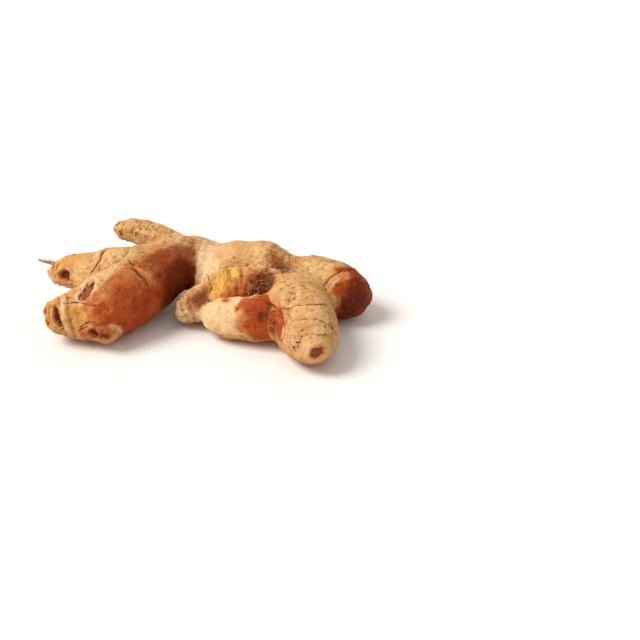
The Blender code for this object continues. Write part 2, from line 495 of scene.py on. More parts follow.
# %% Ends
# (finger, along, around, length, width, turn, depth, rim)
CRATERS = (
    (horn, 0.70, -78, 5.6, 4.8, 10, 2.0, 0.8),
    (horn, 0.80, -50, 2.6, 3.6, 0, 1.3, 0.6),
    (horn, 0.885, -52, 2.2, 3.2, 0, 1.2, 0.6),
    (horn, 0.97, -108, 2.4, 2.0, 0, 0.6, 0.2),
    (toe, 0.73, -52, 2.6, 9.5, 8, 1.8, 0.7),
    (toe, 0.93, -15, 2.2, 3.0, 0, 0.9, 0.3),
    (toe, 0.95, -70, 2.2, 3.0, 0, 0.7, 0.2),
    (stub, 0.90, 48, 4.8, 4.4, 0, 2.1, 0.6),
    (thumb, 0.758, 5, 2.6, 2.0, 0, 0.5, 0.35),
    (thumb, 0.614, -30, 1.8, 1.8, 0, 0.45, 0.25),
    (stub, 0.93, -18, 2.4, 4.4, 0, 0.9, 0.6),
    (perch, 0.87, -52, 1.7, 2.6, 20, 0.5, 0.3),
    (perch, 0.93, 0, 2.0, 2.6, 0, 0.4, 0.3),
    (knob, 0.89, -58, 4.0, 6.5, 20, 1.5, 0.3),
    (front, 0.985, 30, 4.6, 6.4, 0, 0.9, 0.6),
)
RIM_WIDTH = 1.2
DARK_DEPTH = 2.5  # a crater this deep is as dark as a scar gets
for number, (finger, along, around, length, width, turn, depth, rim) in enumerate(CRATERS):
    place = Place(finger, along, around)
    inside = blot(place, length, width, turn, 0.3, 0.4, number)
    wider = blot(place, length + 2 * RIM_WIDTH, width + 2 * RIM_WIDTH, turn, 0.3, 0.4, number)
    edge = np.clip(wider - inside, 0, 1)
    lift += rim * edge - depth * inside
    tint("rust", inside)
    tint("scar", inside * min(1.0, depth / DARK_DEPTH))
    tint("amber", edge * 0.9)
print("craters:", len(CRATERS))

# (finger, along, around, length, width, height of the tearing in mm, its size in mm)
CHEWED = (
    (horn, 0.92, -70, 14, 18, 0.95, 2.3),
    (toe, 0.90, -45, 10, 16, 0.85, 2.2),
    (stub, 0.90, 15, 10, 14, 0.80, 2.0),
    (bud, 0.75, 10, 20, 18, 0.60, 1.9),
    (perch, 0.93, -20, 9, 12, 0.45, 1.8),
    (perch, 0.62, -15, 14, 9, 0.30, 1.5),
)
for number, (finger, along, around, length, width, height, size) in enumerate(CHEWED):
    spot = blot(Place(finger, along, around), length, width, 0, 0.3, 0.5, 140 + number)
    near = spot > 0
    lift[near] += spot[near] * height * clouds(points[near], size, 150 + number, 4)
    paint["coarse"][near] = np.maximum(paint["coarse"][near], spot[near] * 0.5)
print("chewed ends:", len(CHEWED))

# A bud that never grew leaves an eye: a low ring round an amber middle.
# (finger, along, around, size in mm)
EYES = (
    (perch, 0.66, -50, 3.0),
    (side, 0.30, -60, 2.6),
    (palm, 0.55, 150, 3.0),
    (front, 0.84, -48, 3.4),
)
for number, (finger, along, around, size) in enumerate(EYES):
    place = Place(finger, along, around)
    # The ring is raised wider than it is painted, so that its dark line lies on its inner slope.
    inside, painted, raised = (
        blot(place, size * share, size * share, 0, 0.2, soft, 160 + number)
        for share, soft in ((0.7, 0.4), (1.0, 0.3), (1.35, 0.35))
    )
    lift += 0.35 * np.clip(raised - inside, 0, 1) - 0.25 * inside
    tint("scar", painted - inside)
    tint("amber", inside)
print("eyes:", len(EYES))

# The knob's face was snapped off: it is flattened, torn along the fibres and left rough.
FACE_LENGTH, FACE_WIDTH, RIND = 18, 25, 1
FACE_EDGE = (0, 0.22, 0.07, 31)  # turn, raggedness, softness and seed
face_place = Place(knob, 0.80, 4)
broken = blot(face_place, FACE_LENGTH, FACE_WIDTH, *FACE_EDGE)
fibre_grain = points * (1, 0.35, 0.45)
torn = 0.7 * clouds(fibre_grain, 1.7, 32, 4) + 0.4 * clouds(points, 4.5, 35)
torn -= 0.5 * np.abs(clouds(fibre_grain, 2.6, 36, 2))
height_off = (points - np.array(face_place.at)) @ np.array(face_place.off)
lift += broken * (torn - 0.35 * np.clip(height_off + 2.0, -2, 2))
with_rind = blot(face_place, FACE_LENGTH + 2 * RIND, FACE_WIDTH + 2 * RIND, *FACE_EDGE)
lift += 0.45 * np.clip(with_rind - broken, 0, 1)
paint["broken"] = broken
tint("coarse", broken * 0.4)
# The face's side turned from the light gets near-black and red-brown painted shade.
tint("burnt", broken * 0.8 * blot(Place(knob, 0.90, -48), 15, 15, 0, 0.45, 0.9, 34))
tint("stain", broken * 0.9 * blot(Place(knob, 0.98, -14), 13, 15, 0, 0.45, 0.9, 37))
print("broken face covers points:", int((broken > 0.5).sum()))

# %% [markdown]
# ### Cracks
# As the root dries, its skin splits where a finger bends. A split wanders, so its distance from each
# point is disturbed by a little noise. That distance is also kept for the material, which can draw a
# dark line finer than the mesh.

# %% Cracks
crack_gap = np.full(len(points), FAR)
# (places as (finger, along, around), width, depth)
CRACKS = (
    (((palm, 0.60, -20), (palm, 0.606, -32), (palm, 0.601, -45), (palm, 0.61, -56)), 0.6, 0.8),
    (((palm, 0.56, 11), (palm, 0.575, 3), (palm, 0.57, -6)), 0.5, 0.4),
    (((palm, 0.585, -4), (palm, 0.60, -12), (palm, 0.592, -20)), 0.5, 0.4),
    (((horn, 0.335, 16), (horn, 0.33, -4), (horn, 0.332, -20), (horn, 0.352, -40),
      (horn, 0.366, -58), (horn, 0.40, -72)), 0.5, 0.45),
    (((heel, 1.02, 8), (heel, 1.06, -4), (heel, 1.10, -16), (heel, 1.14, -25)), 0.4, 0.3),
    (((front, 0.16, -46), (front, 0.12, -60), (side, 0.50, -2), (side, 0.52, -16)), 0.4, 0.25),
    (((toe, 0.42, -96), (toe, 0.30, -86), (toe, 0.12, -80)), 0.35, 0.3),
    (((knob, 0.36, 70), (knob, 0.50, 64), (knob, 0.64, 60), (knob, 0.79, 58),
      (knob, 0.86, 66)), 0.5, 0.6),
    (((front, 0.562, 66), (front, 0.586, 55), (front, 0.628, 38), (front, 0.656, 23),
      (front, 0.674, 10), (front, 0.680, -2), (front, 0.676, -18), (front, 0.667, -32),
      (front, 0.64, -60)), 0.45, 0.55),
    (((front, 0.37, 76), (front, 0.435, 66), (front, 0.51, 59), (front, 0.617, 54), (front, 0.70, 55),
      (front, 0.745, 63), (front, 0.77, 76)), 0.8, 1.3),
    (((toe, 0.594, -24), (toe, 0.403, -23), (palm, 0.924, 14), (palm, 0.906, -17),
      (palm, 0.873, -51)), 0.45, 0.4),
    (((toe, 0.383, -87), (palm, 0.978, -42), (palm, 0.955, -58), (palm, 0.95, -76)), 0.4, 0.4),
    (((palm, 0.765, 30), (palm, 0.80, 35), (palm, 0.85, 38), (palm, 0.89, 36),
      (palm, 0.915, 30)), 0.4, 0.45),
    (((palm, 0.765, 30), (palm, 0.80, 24), (palm, 0.85, 18), (palm, 0.89, 17),
      (palm, 0.915, 22)), 0.4, 0.35),
)
for stations, width, depth in CRACKS:
    split = crack([Place(*station) for station in stations], width, depth)
    crack_gap = np.minimum(crack_gap, split)
print("cracks:", len(CRACKS), "nearest, mm:", crack_gap.min().round(2))

# %% [markdown]
# ### Leaf scar, nodule and rootlet scars
# A scale leaf leaves a torn brown strip. Rootlets leave small dark pits, about half of them in rows
# along the rings, and one bud has healed into a pale nodule.

# %% Small scars
leaf_place = Place(palm, 0.850, 27)
leaf_scar = blot(leaf_place, 11.5, 4.6, 6, 0.3, 0.25, 41)
leaf_edge = np.clip(blot(leaf_place, 15.5, 8.6, 6, 0.5, 0.3, 41) - leaf_scar, 0, 1)
lift += 0.35 * leaf_edge - 0.45 * leaf_scar
tint("rust", leaf_scar)
tint("pale", leaf_edge * 0.7)
tint("rust", blot(Place(horn, 0.335, -6), 1.8, 4.4, 0, 0.3, 0.4, 44))

nodule_place = Place(front, 0.135, 33)
nodule = blot(nodule_place, 3.6, 4.8, 0, 0.2, 0.6, 42)
moat = np.clip(blot(nodule_place, 5.4, 7.2, 0, 0.3, 0.4, 43) - nodule, 0, 1)
lift += 1.2 * nodule - 0.5 * moat
tint("pale", nodule * 0.5)

PITS_ON_RINGS, PITS_ELSEWHERE = 70, 80
draw = np.random.default_rng(5)
ring_points = np.flatnonzero((np.abs(ring_gap) < 1.6) & (ring_strength > 0.25))
open_points = np.flatnonzero(calm > 0.5)
centres = np.concatenate(
    [draw.choice(ring_points, PITS_ON_RINGS), draw.choice(open_points, PITS_ELSEWHERE)]
)
for number, centre in enumerate(centres):
    reach = draw.uniform(0.5, 1.15)
    away = np.linalg.norm(points - points[centre], axis=1) / reach
    pit = np.exp(-(away**2))
    collar = np.exp(-(((away - 1.7) / 0.5) ** 2))
    lift += (-0.32 * pit + 0.10 * collar) * draw.uniform(0.5, 1.1)
    tint("scar", pit * draw.uniform(0.2, 0.65))
print("rootlet scars:", len(centres))

# %% [markdown]
# ### Tints that are painted by place
# The skin isn't one colour. The flanks turned away from the light are painted red-brown, darkest at
# the core, as painted shade with some real staining. Young tips are amber where the skin is thin,
# rubbed tops are pale and the flanks turned to the light get a pale painted highlight, and dips hold
# rough brown cork. Each tint is a mask that the material uses.

# %% Tints
# The red-brown and near-black blots below are painted shade on the flanks turned from the light, with some
# staining.
# (tint, finger, along, around, length, width, turn, softness, strength, whether it keeps to it)
BLOTS = (
    ("stain", palm, 0.44, -90, 31, 30, 0, 1.0, 1.15, True),
    ("stain", palm, 0.74, -88, 40, 28, 0, 1.0, 1.05, True),
    ("stain", palm, 0.34, -84, 22, 20, 0, 0.8, 1.0, True),
    ("stain", palm, 0.84, -68, 24, 18, 0, 0.8, 0.7, True),
    ("stain", stub, 0.88, 20, 9, 12, 0, 0.8, 0.7, True),
    ("stain", front, 0.64, 74, 20, 12, 0, 0.9, 1.0, True),
    ("burnt", front, 0.64, 84, 14, 9, 0, 0.8, 0.7, True),
    ("burnt", front, 0.22, 66, 12, 11, 0, 0.8, 1.3, False),
    ("burnt", front, 0.12, 2, 10, 8, 0, 0.8, 0.75, False),
    ("burnt", bud, 0.60, -35, 14, 8, 0, 0.8, 0.8, True),
    ("burnt", front, 0.10, 14, 5, 9, 0, 0.8, 0.8, False),
    ("stain", thumb, 0.50, -12, 8, 8, 0, 0.8, 0.9, True),
    ("stain", thumb, 0.47, -75, 9, 9, 0, 0.8, 0.9, True),
    ("scar", palm, 0.602, -30, 2.2, 7.0, 0, 0.7, 0.7, False),
    ("scar", palm, 0.565, 2, 2.0, 4.0, 20, 0.7, 0.6, False),
    ("scar", palm, 0.66, -2, 1.6, 3.4, 40, 0.7, 0.5, False),
    ("stain", palm, 0.90, -36, 9, 4.5, 0, 0.4, 1.0, False),
    ("burnt", palm, 0.36, -98, 36, 26, 0, 0.8, 0.9, True),
    ("stain", side, 0.97, 40, 20, 26, 0, 0.3, 1.2, True),
    ("burnt", side, 0.97, 60, 16, 22, 0, 0.6, 0.9, True),
    ("stain", side, 0.84, -15, 12, 18, 0, 0.7, 0.5, True),
    ("stain", thumb, 0.34, -40, 18, 24, 0, 0.6, 1.2, True),
    ("burnt", thumb, 0.22, -52, 14, 17, 0, 0.7, 1.0, True),
    ("stain", thumb, 0.14, -40, 9, 15, 0, 0.6, 0.7, True),
    ("stain", knob, 0.66, -40, 12, 12, 0, 0.9, 0.6, True),
    ("burnt", knob, 0.64, -72, 15, 13, 0, 0.8, 1.0, True),
    ("stain", bud, 0.62, -30, 16, 9, 0, 0.8, 0.6, True),
    ("stain", heel, 0.84, 28, 7, 9, 20, 0.8, 0.45, True),
    ("coarse", heel, 0.88, 22, 14, 17, 20, 0.7, 1.0, False),
    ("coarse", front, 0.20, 58, 11, 10, 0, 0.7, 0.9, False),
    ("coarse", toe, 0.30, -55, 18, 14, 0, 0.7, 0.5, False),
    ("coarse", heel, 0.165, 16, 6, 9, 0, 0.6, 0.9, False),
    ("coarse", palm, 0.58, 0, 6, 16, 30, 0.7, 1.0, False),
    ("coarse", palm, 0.46, -10, 22, 5, 10, 0.7, 0.7, False),
    ("coarse", palm, 0.18, -30, 8, 16, 0, 0.6, 0.9, False),
    ("coarse", palm, 0.80, -12, 22, 12, 0, 0.8, 0.5, False),
    ("coarse", bud, 0.78, -10, 18, 16, 0, 0.5, 1.0, True),
    ("coarse", knob, 0.34, -5, 7, 18, 0, 0.6, 0.7, False),
    ("coarse", toe, 0.75, -50, 10, 14, 0, 0.6, 0.4, True),
    ("amber", horn, 0.66, -22, 12, 6.5, 0, 0.8, 0.75, True),
    ("amber", horn, 0.76, -68, 12, 12, 0, 0.6, 0.6, True),
    ("amber", toe, 0.32, -62, 20, 15, 0, 0.8, 0.75, False),
    ("amber", toe, 0.85, -45, 8, 12, 0, 0.5, 0.6, True),
    ("amber", stub, 0.70, 20, 12, 14, 0, 0.5, 0.8, True),
    ("amber", perch, 0.66, -50, 3, 3, 0, 0.5, 0.9, True),
    # Pale blots on the flanks of the heel, knob and thumb that are turned to the light are partly painted
    # highlight.
    ("pale", heel, 0.24, 62, 16, 22, 0, 0.6, 1.0, False),
    ("pale", heel, 0.28, 102, 13, 13, 0, 0.7, 1.1, False),
    ("pale", bud, 0.92, 40, 10, 13, 0, 0.7, 0.6, True),
    ("coarse", perch, 0.62, -15, 16, 10, 0, 0.6, 1.0, True),
    ("amber", perch, 0.85, -75, 12, 12, 0, 0.6, 0.35, True),
    ("coarse", perch, 0.45, -25, 18, 9, 0, 0.8, 0.8, True),
    ("pale", knob, 0.40, 92, 20, 12, 0, 0.5, 1.0, False),
    ("pale", thumb, 0.80, -5, 20, 20, 0, 0.25, 0.75, True),
    ("coarse", thumb, 0.74, -12, 10, 12, 0, 0.6, 0.5, True),
    ("pale", horn, 0.97, -80, 8, 9, 0, 0.7, 0.8, True),
    ("pale", toe, 0.62, -55, 2.4, 15, 0, 0.5, 1.0, True),
    ("pale", heel, 0.42, 20, 24, 14, 0, 0.9, 0.4, False),
    ("pale", perch, 0.90, -30, 9, 9, 0, 0.6, 0.4, True),
    ("pale", palm, 0.74, 22, 14, 9, 0, 0.8, 0.5, True),
)
for number, (name, finger, along, around, *oval, soft, strength, keeps) in enumerate(BLOTS):
    only = finger if keeps else None
    spot = blot(Place(finger, along, around), *oval, 0.4, soft, 60 + number, only)
    tint(name, spot * strength)
    if name == "coarse":
        lift += spot * strength * 0.18 * clouds(points, 1.3, 90 + number)
print("painted blots:", len(BLOTS))

# %% [markdown]
# ## The finished skin mesh
# The heights are applied once, along each point's normal. Then a few more values are measured on the
# result: how deep each point lies in a hollow, finely and widely, which darkens creases and pits with
# painted shade and dirt. All of it is stored on the mesh, where the material can read it.

# %% Sculpted skin
RESTING, REST_BAND = 0.05, 2.2  # the lift fades to nothing between these heights above the table
UNDERSIDE_SHADE = 0.4  # how strongly the underside gets red-brown painted shade
lift *= eased(points[:, 2], RESTING, REST_BAND)
sculpted = points + normals * lift[:, None]
sculpted[:, 2] = np.maximum(sculpted[:, 2], np.minimum(points[:, 2], RESTING))
skin_mesh.vertices.foreach_set("co", (sculpted * MM).astype(np.float32).ravel())
skin_mesh.update()

fine_hollow = ((spread(sculpted, 6) - sculpted) * normals).sum(1)
wide_hollow = ((spread(sculpted, 60) - sculpted) * normals).sum(1)
under = eased(-normals[:, 2], -0.15, 0.75)
# The underside gets red-brown painted shade, as far as it faces down.
tint("stain", under * UNDERSIDE_SHADE)
stored = dict(paint)
hollow = eased(fine_hollow, 0.015, 0.12) * 0.8 + eased(wide_hollow, 0.15, 1.0)
stored["hollow"] = np.clip(hollow, 0, 1)
stored["ridge"] = eased(-fine_hollow, 0.01, 0.09)
stored["ring_gap"] = np.clip(ring_gap, -8, 8)
stored["ring_strength"] = ring_strength
stored["crack_gap"] = np.clip(crack_gap, -1, 8)
for name, values in stored.items():
    layer = skin_mesh.attributes.new(name, "FLOAT", "POINT")
    layer.data.foreach_set("value", values.astype(np.float32))
layer = skin_mesh.attributes.new("grain", "FLOAT_VECTOR", "POINT")
layer.data.foreach_set("vector", (grain * MM).astype(np.float32).ravel())

skin_mesh.materials.clear()
skin_mesh.shade_smooth()
skin = bpy.data.objects.new("ginger_skin", skin_mesh)
bpy.context.scene.collection.objects.link(skin)
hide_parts("ginger_root")
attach(skin, "root")
print("skin box, mm:", sculpted.min(0).round(1).tolist(), sculpted.max(0).round(1).tolist())

# %% [markdown]
# ## The skin's material
# Ginger skin is a thin layer of cork over pale, juicy flesh. Cork is matt and tan, with a faint
# sheen between its streaks. It is patchy over centimetres, streaked along each finger over
# millimetres, and flecked with dark specks. The layers below are mixed over each other from the
# widest pattern to the finest line, as a painter glazes.


# %% Material helpers
def linear(code):
    """An sRGB hex colour as linear red, green, blue and alpha."""
    parts = [int(code[k : k + 2], 16) / 255 for k in (1, 3, 5)]
    return (*[p / 12.92 if p <= 0.04045 else ((p + 0.055) / 1.055) ** 2.4 for p in parts], 1.0)


def add(tree, kind, settings=None, inputs=None):
    """Adds a node, gives it its settings, and links or sets each named input."""
    node = tree.nodes.new(kind)
    for name, value in (settings or {}).items():
        setattr(node, name, value)
    for name, value in (inputs or {}).items():
        if isinstance(value, bpy.types.NodeSocket):
            tree.links.new(value, node.inputs[name])
        else:
            node.inputs[name].default_value = value
    return node


# %% Skin patterns
cork = bpy.data.materials.new("corky_rhizome_skin")
cork.use_nodes = True
tree = cork.node_tree
shader = tree.nodes["Principled BSDF"]
where = add(tree, "ShaderNodeTexCoord").outputs["Object"]
streaks = add(tree, "ShaderNodeAttribute", {"attribute_name": "grain"}).outputs["Vector"]
mask = {
    name: add(tree, "ShaderNodeAttribute", {"attribute_name": name}).outputs["Fac"]
    for name in stored
}
PER_MM = 1 / MM
# (name, coordinates, size in mm, detail, roughness, where the pattern starts and is full)
PATTERNS = (
    ("mottle", where, 11, 5, 0.6, 0.42, 0.62),
    ("patch", where, 4.0, 5, 0.68, 0.48, 0.66),
    ("dapple", where, 1.7, 4, 0.7, 0.52, 0.68),
    ("fleck", where, 1.3, 4, 0.7, 0.54, 0.68),
    ("fleck_area", where, 8, 4, 0.65, 0.46, 0.62),
    ("streak", streaks, 1.2, 4, 0.62, 0.48, 0.70),
    ("pore", where, 1.9, 3, 0.6, 0.62, 0.70),
    ("tear", streaks, 2.4, 5, 0.7, 0.45, 0.62),
    ("broken_line", where, 3.0, 3, 0.6, 0.40, 0.56),
)
for name, place, size, detail, rough, start, full in PATTERNS:
    cloud = add(
        tree, "ShaderNodeTexNoise", None,
        {"Vector": place, "Scale": PER_MM / size, "Detail": detail, "Roughness": rough},
    )
    mask[name] = add(
        tree, "ShaderNodeMapRange", {"interpolation_type": "SMOOTHSTEP"},
        {"Value": cloud.outputs["Fac"], "From Min": start, "From Max": full},
    ).outputs["Result"]
# A painted mask gets a ragged, mottled edge: (name, mask, size in mm, how ragged, start, full)
RAGGED = (
    # The first two carry the red-brown painted shade: its wide soft edge and its ragged body.
    ("stain_and_shade_edge", "stain", 6.0, 0.6, 0.06, 0.60),
    ("stain", "stain", 3.5, 0.8, 0.20, 1.00),
    ("burnt", "burnt", 4.0, 0.7, 0.15, 1.00),
    ("coarse", "coarse", 2.5, 0.9, 0.15, 0.80),
    ("amber", "amber", 4.0, 0.7, 0.05, 1.00),
    ("pale", "pale", 4.0, 0.7, 0.05, 1.00),
)
for name, source, size, ragged, start, full in RAGGED:
    cloud = add(
        tree, "ShaderNodeTexNoise", None,
        {"Vector": where, "Scale": PER_MM / size, "Detail": 7, "Roughness": 0.68},
    )
    shifted = add(
        tree, "ShaderNodeMath", {"operation": "MULTIPLY_ADD"},
        {0: cloud.outputs["Fac"], 1: ragged, 2: mask[source]},
    )
    mask[name] = add(
        tree, "ShaderNodeMapRange", {"interpolation_type": "SMOOTHSTEP"},
        {"Value": shifted.outputs[0], "From Min": start + ragged / 2, "From Max": full + ragged / 2},
    ).outputs["Result"]
# Thin lines: (name, distance mask, half width in mm where it is full, and where it has gone)
LINES = (
    ("ring_line", "ring_gap", 0.10, 0.38),
    ("crack_line", "crack_gap", 0.12, 0.4),
    ("ring_shade", "ring_gap", 0.3, 2.2),
)
for name, gap, full, gone in LINES:
    size = add(tree, "ShaderNodeMath", {"operation": "ABSOLUTE"}, {0: mask[gap]}).outputs[0]
    mask[name] = add(
        tree, "ShaderNodeMapRange", {"interpolation_type": "SMOOTHSTEP"},
        {"Value": size, "From Min": gone, "From Max": full},
    ).outputs["Result"]
# A pattern that shows only within another: (name, first, second)
WITHIN = (
    ("speckle", "fleck", "fleck_area"),
    ("coarse_fleck", "fleck", "coarse"),
    ("coarse_patch", "patch", "coarse"),
    ("torn_streak", "tear", "broken"),
    ("stain_and_shade_mottle", "mottle", "stain"),
    ("stain_and_shade_dark", "patch", "stain"),
    ("stain_and_shade_streak", "tear", "stain"),
    # Scars in hollows, darkened further as painted shade.
    ("scar_core", "scar", "hollow"),
    ("ring_line", "ring_line", "ring_strength"),
    ("ring_line", "ring_line", "broken_line"),
    ("ring_shade", "ring_shade", "ring_strength"),
)
for name, first, second in WITHIN:
    mask[name] = add(
        tree, "ShaderNodeMath", {"operation": "MULTIPLY", "use_clamp": True},
        {0: mask[first], 1: mask[second]},
    ).outputs[0]
print("masks:", len(mask))

# %% Skin colour
# (mask, colour, strength), from the widest to the finest
LAYERS = (
    ("mottle", "#E0B680", 0.8),
    ("patch", "#C08042", 0.5),
    ("dapple", "#A8703A", 0.4),
    ("streak", "#A9713C", 0.18),
    ("ridge", "#E3C190", 0.30),
    # Painted shade and dirt in creases and pits.
    ("hollow", "#7A3410", 0.7),
    # Pale skin, partly a painted highlight on the flanks turned to the light.
    ("pale", "#F0CFA0", 0.8),
    ("ring_shade", "#B0713A", 0.35),
    ("amber", "#D88E34", 0.7),
    ("broken", "#E4B05A", 0.95),
    ("torn_streak", "#A8571E", 0.62),
    # The next five layers are red-brown painted shade on the flanks turned from the light, with some
    # staining.
    ("stain_and_shade_edge", "#C67438", 0.75),
    ("stain", "#A43A0E", 0.95),
    ("stain_and_shade_mottle", "#BE5C22", 0.5),
    ("stain_and_shade_dark", "#7A2406", 0.5),
    ("stain_and_shade_streak", "#8C3410", 0.4),
    # Near-black painted shade where the flanks turn furthest from the light, with some dark staining.
    ("burnt", "#4A1404", 0.85),
    ("coarse_patch", "#8F5528", 0.6),
    ("speckle", "#7A4822", 0.42),
    ("coarse_fleck", "#643212", 0.8),
    ("pore", "#8A5528", 0.32),
    ("scar", "#8E4218", 0.85),
    ("rust", "#90401A", 0.9),
    # Scars darken further in hollows: painted shade in the pits, over the scars' own colour.
    ("scar_core", "#42140A", 0.75),
    ("ring_line", "#54280E", 0.8),
    ("crack_line", "#46190A", 0.85),
)
colour = linear("#CF9A5E")
for name, code, strength in LAYERS:
    amount = add(
        tree, "ShaderNodeMath", {"operation": "MULTIPLY"}, {0: mask[name], 1: strength}
    ).outputs[0]
    colour = add(
        tree, "ShaderNodeMix", {"data_type": "RGBA"}, {0: amount, 6: colour, 7: linear(code)}
    ).outputs[2]
tree.links.new(colour, shader.inputs["Base Color"])

# %% Skin relief and sheen
# The grain of cork is 0.4 to 1.6 mm across, as fine as the mesh or finer, so that part is bump.
# (coordinates, size in mm, detail, depth in mm)
GRAINS = ((where, 1.6, 5, 0.60), (streaks, 0.9, 3, 0.38), (where, 0.45, 2, 0.12))
SHEEN, DULL = 0.52, 0.74
relief = None
for place, size, detail, depth in GRAINS:
    cloud = add(
        tree, "ShaderNodeTexNoise", None,
        {"Vector": place, "Scale": PER_MM / size, "Detail": detail, "Roughness": 0.6},
    )
    inputs = {"Height": cloud.outputs["Fac"], "Distance": depth * MM, "Strength": 1.0}
    if relief:
        inputs["Normal"] = relief
    relief = add(tree, "ShaderNodeBump", None, inputs).outputs["Normal"]
tree.links.new(relief, shader.inputs["Normal"])
gloss = add(
    tree, "ShaderNodeMapRange", None,
    {"Value": mask["streak"], "From Min": 0, "From Max": 1, "To Min": SHEEN, "To Max": DULL},
).outputs["Result"]
tree.links.new(gloss, shader.inputs["Roughness"])
shader.inputs["IOR"].default_value = 1.45
shader.inputs["Specular IOR Level"].default_value = 0.14
skin_mesh.materials.append(cork)
print("nodes in the skin's material:", len(tree.nodes))

# %% [markdown]
# ## Rootlet, fibres and papery scales
# A lifted root keeps a dead rootlet, torn fibres at its broken places, and dry leaf scales that
# curl off the skin. These are too thin for the skin's mesh, so each is a piece of its own. A strand
# is a disc extruded along a path, and a scale is a small sheet laid on the skin, curled at its free
# end and then given a thickness.


# %% Strand and scale
PAPER = 0.16  # how thick a dry scale is
SUNK = 0.12  # how far its held end is sunk into the skin


def strand(shape, path, thick, thin, sides=6):
    """Adds a closed strand along a path to a shape, thinning from its start to its end."""
    ways = [second - first for first, second in zip(path, path[1:])]
    ways.append(ways[-1])
    steps = []
    for number, (place, way) in enumerate(zip(path, ways)):
        width = thick + (thin - thick) * number / (len(path) - 1)
        turned = way.to_track_quat("Z", "Y").to_matrix().to_4x4()
        steps.append(Matrix.Translation(place) @ turned @ Matrix.Scale(width, 4))
    disc = bmesh.ops.create_circle(
        shape, cap_ends=True, radius=0.5, segments=sides, matrix=steps[0]
    )
    cap = tip = disc["verts"][0].link_faces[0]
    for before, after in zip(steps, steps[1:]):
        grown = bmesh.ops.extrude_face_region(shape, geom=[tip])["geom"]
        if tip != cap:  # the old tip would be left as a wall inside
            bmesh.ops.delete(shape, geom=[tip], context="FACES_ONLY")
        moved = [part for part in grown if isinstance(part, bmesh.types.BMVert)]
        tip = next(part for part in grown if isinstance(part, bmesh.types.BMFace))
        bmesh.ops.transform(shape, matrix=after @ before.inverted(), verts=moved)


def papery_scale(shape, finger, along, around, length, width, curl, seed):
    """Adds a dry leaf scale: a ragged sheet that lies on the skin and curls off at its free end."""
    sheet = bmesh.ops.create_grid(shape, x_segments=7, y_segments=10, size=0.5)
    for vert in sheet["verts"]:
        out, across = vert.co.x + 0.5, vert.co.y
        ragged = 1 + 0.30 * noise.noise(Vector((across * 6, seed, 0)))
        share = min(along + out * ragged * length / finger.length, 0.97)
        angle = around + math.degrees(across * width * (1 - 0.2 * out) / (finger.girth / 2))
        hit, off = on_surface(finished_surface, finger, share, angle)
        crumple = 0.8 * noise.noise(hit * 0.55 + Vector((seed, 0, 0))) + 0.3 * noise.noise(hit * 1.4)
        vert.co = hit + off * (-SUNK + curl * out**1.6 + max(-curl * 0.8, crumple * out))
    faces = list({face for vert in sheet["verts"] for face in vert.link_faces})
    bmesh.ops.solidify(shape, geom=faces, thickness=PAPER)


def finish_piece(name, shape, material, rounding=0):
    """Makes a shape that was modelled in mm into a piece that rides on the root."""
    bmesh.ops.scale(shape, vec=(MM, MM, MM), verts=shape.verts)
    bmesh.ops.recalc_face_normals(shape, faces=shape.faces)
    mesh = bpy.data.meshes.new(name)
    shape.to_mesh(mesh)
    shape.free()
    if rounding:
        mesh = applied(mesh, (("SUBSURF", {"levels": rounding, "render_levels": rounding}),))
        mesh.name = name
    mesh.materials.clear()
    mesh.materials.append(material)
    mesh.shade_smooth()
    piece = bpy.data.objects.new(name, mesh)
    bpy.context.scene.collection.objects.link(piece)
    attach(piece, "root")
    print(name, "faces:", len(mesh.polygons))


finished_surface = BVHTree.FromPolygons(sculpted.tolist(), corners)

# %% [markdown]
# ### Their material
# Scale, rootlet and fibre are dead plant tissue, tan to brown, dry and matt, with veins about half a
# millimetre apart. Scales and rootlet are also flecked with dark cork that came off with them, so
# they get a material of their own.

# %% Dry materials
VEIN_SIZE, VEIN_DEPTH = 0.5, 0.15


def dry_material(name, base, flecks):
    """Dead plant tissue: a base colour with flecks given as (size in mm, colour, start, full)."""
    material = bpy.data.materials.new(name)
    material.use_nodes = True
    dry = material.node_tree
    dry_shader = dry.nodes["Principled BSDF"]
    place = add(dry, "ShaderNodeTexCoord").outputs["Object"]
    tone = linear(base)
    for size, code, start, full in flecks:
        cloud = add(
            dry, "ShaderNodeTexNoise", None,
            {"Vector": place, "Scale": PER_MM / size, "Detail": 3, "Roughness": 0.6},
        )
        amount = add(
            dry, "ShaderNodeMapRange", None,
            {"Value": cloud.outputs["Fac"], "From Min": start, "From Max": full},
        ).outputs["Result"]
        tone = add(
            dry, "ShaderNodeMix", {"data_type": "RGBA"}, {0: amount, 6: tone, 7: linear(code)}
        ).outputs[2]
    dry.links.new(tone, dry_shader.inputs["Base Color"])
    veins = add(
        dry, "ShaderNodeTexNoise", None,
        {"Vector": place, "Scale": PER_MM / VEIN_SIZE, "Detail": 2},
    )
    relief = add(
        dry, "ShaderNodeBump", None,
        {"Height": veins.outputs["Fac"], "Distance": VEIN_DEPTH * MM, "Strength": 0.8},
    )
    dry.links.new(relief.outputs["Normal"], dry_shader.inputs["Normal"])
    dry_shader.inputs["Roughness"].default_value = 0.75
    dry_shader.inputs["Specular IOR Level"].default_value = 0.2
    print(name, "nodes:", len(dry.nodes))
    return material


dry_scale = dry_material(
    "dry_leaf_scale", "#CFA074", ((3.0, "#B07A4C", 0.45, 0.62), (0.9, "#8A5030", 0.54, 0.70))
)
dead_fibre = dry_material("dead_fibre", "#CE9C70", ((3.0, "#A06A40", 0.44, 0.60),))

# %% Rootlet on the horn
ROOTLET_BASE, ROOTLET_TIP = 3.2, 1.1
